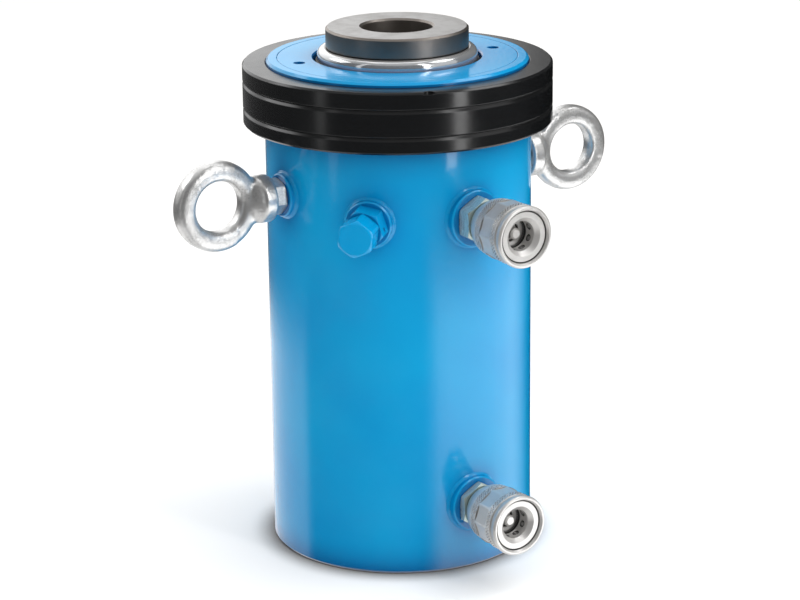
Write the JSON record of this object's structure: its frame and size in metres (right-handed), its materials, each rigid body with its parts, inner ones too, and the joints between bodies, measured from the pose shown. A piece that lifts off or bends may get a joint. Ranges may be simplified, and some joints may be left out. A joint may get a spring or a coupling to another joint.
{
  "type": "hydraulic cylinder",
  "caption": "Double-acting hollow-plunger hydraulic cylinder with a centre hole, collar ring, saddle, quick couplers, relief valve and lifting eye bolts.",
  "frame": {"origin": "centre of the centre hole at the base face, on the plane the cylinder stands on", "axes": "+Z along the plunger's stroke, towards the saddle; the couplers face -Y; the eye bolts lie along X; the relief valve faces between -X and -Y"},
  "size_m": [0.3056, 0.2262, 0.3185],
  "materials": {
    "blue_paint": "gloss enamel over machined steel",
    "black_collar": "satin black finish",
    "bronze": "machined bronze",
    "rubber": "black nitrile",
    "seal": "moulded polyurethane",
    "wear_band": "fabric-filled resin band",
    "tube_steel": "ground steel tube",
    "chrome": "hard chrome, ground and polished",
    "dark_steel": "machined steel, oiled",
    "bright_zinc": "forged steel, bright zinc plated",
    "spring_steel": "spring steel",
    "green_zinc": "steel, zinc plated with a greenish passivation",
    "nickel_steel": "machined steel, plated"
  },
  "bodies": {
    "cylinder_body": {"barrel": "blue_paint", "gland_nut": "blue_paint", "relief_body": "blue_paint", "relief_cap": "blue_paint", "collar_ring": "black_collar", "gland_bush": "bronze", "wiper": "rubber", "gland_o_ring": "rubber", "centre_tube_o_ring": "rubber", "rod_seal": "seal", "rod_wear_ring": "wear_band", "centre_tube": "tube_steel", "left_eye_bolt": "bright_zinc", "right_eye_bolt": "bright_zinc", "left_lock_nut": "bright_zinc", "right_lock_nut": "bright_zinc", "relief_spring": "spring_steel", "relief_adjuster": "spring_steel", "upper_adaptor": "green_zinc", "upper_port_seal": "rubber", "upper_socket_seal": "rubber", "upper_coupler_body": "nickel_steel", "upper_stop_ring": "spring_steel", "upper_sleeve_spring": "spring_steel", "upper_poppet_spring": "spring_steel", "upper_lock_balls": "spring_steel", "lower_adaptor": "green_zinc", "lower_port_seal": "rubber", "lower_socket_seal": "rubber", "lower_coupler_body": "nickel_steel", "lower_stop_ring": "spring_steel", "lower_sleeve_spring": "spring_steel", "lower_poppet_spring": "spring_steel", "lower_lock_balls": "spring_steel"},
    "plunger_assembly": {"plunger": "chrome", "saddle": "dark_steel", "piston": "dark_steel", "piston_lock_ring": "dark_steel", "piston_seal": "seal", "piston_wear_ring": "wear_band", "inner_seal": "seal", "inner_wear_ring": "wear_band"},
    "upper_coupler_sleeve": {"upper_sleeve": "nickel_steel"},
    "lower_coupler_sleeve": {"lower_sleeve": "nickel_steel"},
    "upper_coupler_poppet": {"upper_poppet": "nickel_steel"},
    "lower_coupler_poppet": {"lower_poppet": "nickel_steel"},
    "relief_valve_poppet": {"relief_ball": "spring_steel", "relief_follower": "spring_steel"}
  },
  "joints": [
    {"name": "plunger_slide", "type": "slide", "parent": "cylinder_body", "child": "plunger_assembly", "axis": [0, 0, 1], "range_m": [0, 0.15]},
    {"name": "upper_sleeve_slide", "type": "slide", "parent": "cylinder_body", "child": "upper_coupler_sleeve", "axis": [0, 1, 0], "range_m": [0, 0.005], "stiffness_N_per_m": 2000, "springref_m": -0.004, "deforming": ["upper_sleeve_spring"]},
    {"name": "lower_sleeve_slide", "type": "slide", "parent": "cylinder_body", "child": "lower_coupler_sleeve", "axis": [0, 1, 0], "range_m": [0, 0.005], "stiffness_N_per_m": 2000, "springref_m": -0.004, "deforming": ["lower_sleeve_spring"]},
    {"name": "upper_poppet_slide", "type": "slide", "parent": "cylinder_body", "child": "upper_coupler_poppet", "axis": [0, 1, 0], "range_m": [0, 0.005], "stiffness_N_per_m": 1500, "springref_m": -0.004, "deforming": ["upper_poppet_spring"]},
    {"name": "lower_poppet_slide", "type": "slide", "parent": "cylinder_body", "child": "lower_coupler_poppet", "axis": [0, 1, 0], "range_m": [0, 0.005], "stiffness_N_per_m": 1500, "springref_m": -0.004, "deforming": ["lower_poppet_spring"]},
    {"name": "relief_lift", "type": "slide", "parent": "cylinder_body", "child": "relief_valve_poppet", "axis": [-0.7071, -0.7071, 0], "range_m": [0, 0.0015], "stiffness_N_per_m": 20000, "springref_m": -0.005, "deforming": ["relief_spring"]}
  ]
}
